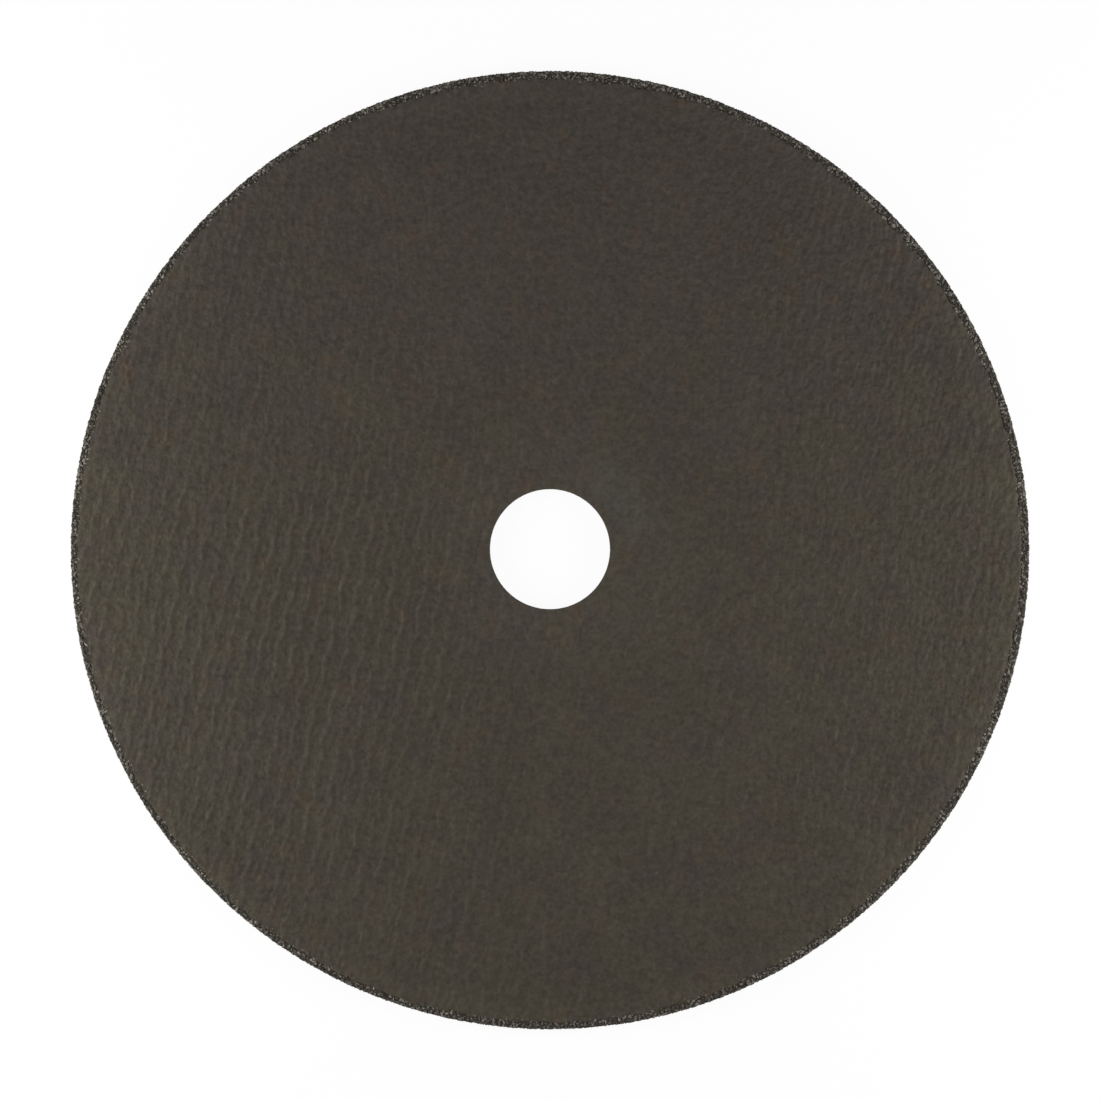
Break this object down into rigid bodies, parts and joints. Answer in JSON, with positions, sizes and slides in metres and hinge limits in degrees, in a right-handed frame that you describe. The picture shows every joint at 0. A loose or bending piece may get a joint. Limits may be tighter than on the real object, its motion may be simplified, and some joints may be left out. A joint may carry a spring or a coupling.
{
  "type": "cut off wheel",
  "caption": "Thin flat resin-bonded cut off wheel with a plain arbor hole, dark paper facings over woven glass cloth and a bare grain margin at the rim.",
  "frame": {"origin": "centre of the arbor hole, on the wheel's back face", "axes": "+Z along the wheel's axis, up through the face that the picture shows; X and Y in the plane of the wheel"},
  "size_m": [0.178, 0.178, 0.0016],
  "materials": {
    "facing": "matt brown-grey facing paper, resin-soaked, with the woven cloth under it showing through",
    "grain": "bare aluminium oxide grain in dark resin"
  },
  "bodies": {
    "root": {"cutoff_wheel": "facing"}
  },
  "joints": []
}
